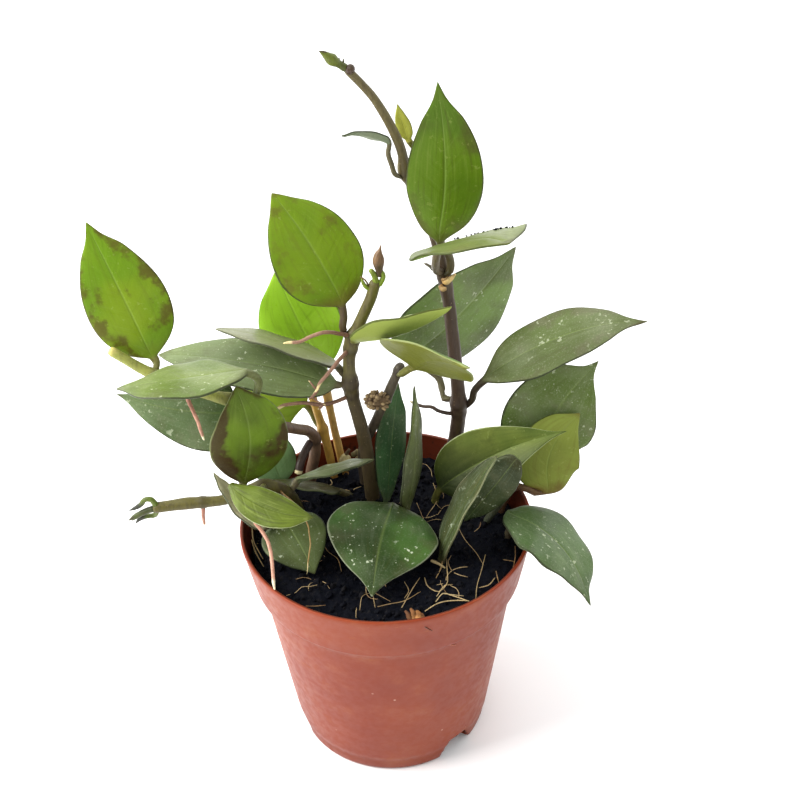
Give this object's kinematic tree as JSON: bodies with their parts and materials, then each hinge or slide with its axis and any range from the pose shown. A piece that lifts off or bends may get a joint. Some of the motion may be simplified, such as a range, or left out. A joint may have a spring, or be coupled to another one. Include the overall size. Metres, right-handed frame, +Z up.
{
  "type": "potted hoya",
  "caption": "Young trailing vine with thick pointed leaves, aerial roots and cut shoots, growing in dark soil in a tapered plastic nursery pot.",
  "frame": {"origin": "middle of the pot's underside, on the surface it stands on", "axes": "+Z up through the pot, -Y towards the front, +X to the right seen from the front"},
  "size_m": [0.1893, 0.1076, 0.2639],
  "materials": {
    "pot": "satin terracotta-brown plastic, faintly scuffed",
    "soil": "moist dark peat with fibres",
    "stem_dark": "waxy purple-brown stem skin",
    "stem_green": "waxy olive stem skin",
    "dried": "dry tan bark and flower remains",
    "leaf_young": "waxy yellow-green leaf with darker mottles",
    "leaf_grown": "waxy grey-green leaf with pale flecks",
    "leaf_dark": "waxy deep green leaf with pale flecks",
    "root": "dry pinkish-brown aerial root"
  },
  "bodies": {
    "root": {"pot": "pot", "soil": "soil", "stem_tall": "stem_dark", "stem_centre": "stem_green", "stem_spur": "stem_dark", "shoot_back_left": "dried", "shoot_back_right": "dried", "stem_trailing": "stem_dark", "stem_runner": "stem_green", "leaf_tall_upright": "leaf_young", "leaf_tall_forward": "leaf_young", "leaf_tall_back": "leaf_grown", "leaf_tall_right": "leaf_grown", "leaf_right_back": "leaf_grown", "leaf_right_old": "leaf_young", "leaf_right_wide": "leaf_young", "leaf_right_hanging": "leaf_dark", "leaf_right_drooping": "leaf_grown", "leaf_front_folded": "leaf_grown", "leaf_front_wide": "leaf_dark", "leaf_middle_dark": "leaf_dark", "leaf_middle_narrow": "leaf_grown", "leaf_left_small": "leaf_grown", "leaf_left_brown": "leaf_dark", "leaf_left_hidden": "leaf_dark", "leaf_left_drooping": "leaf_dark", "leaf_runner_mottled": "leaf_young", "leaf_runner_front": "leaf_young", "leaf_runner_grey": "leaf_grown", "leaf_trailing_end": "leaf_young", "leaf_trailing_top": "leaf_young", "leaf_trailing_under": "leaf_grown", "leaf_centre_long": "leaf_dark", "leaf_centre_slim": "leaf_grown", "leaf_centre_upright": "leaf_young", "leaf_centre_forward": "leaf_young", "leaf_spur_forward": "leaf_young", "leaf_back_bright": "leaf_young", "leaf_back_small": "leaf_young", "leaf_tip_new": "leaf_young", "leaf_tip_small": "leaf_grown", "aerial_root_1": "root", "aerial_root_2": "root", "aerial_root_3": "root", "aerial_root_4": "root", "aerial_root_5": "root", "aerial_root_6": "root", "aerial_root_7": "root", "aerial_root_8": "root", "aerial_root_9": "root", "flower_spur": "dried", "dried_stub": "dried", "cut_branch": "stem_dark", "bud_centre": "stem_dark", "bud_runner": "stem_green", "sprout_upper": "stem_green", "sprout_lower": "stem_green", "bud_tall": "stem_green"}
  },
  "joints": []
}
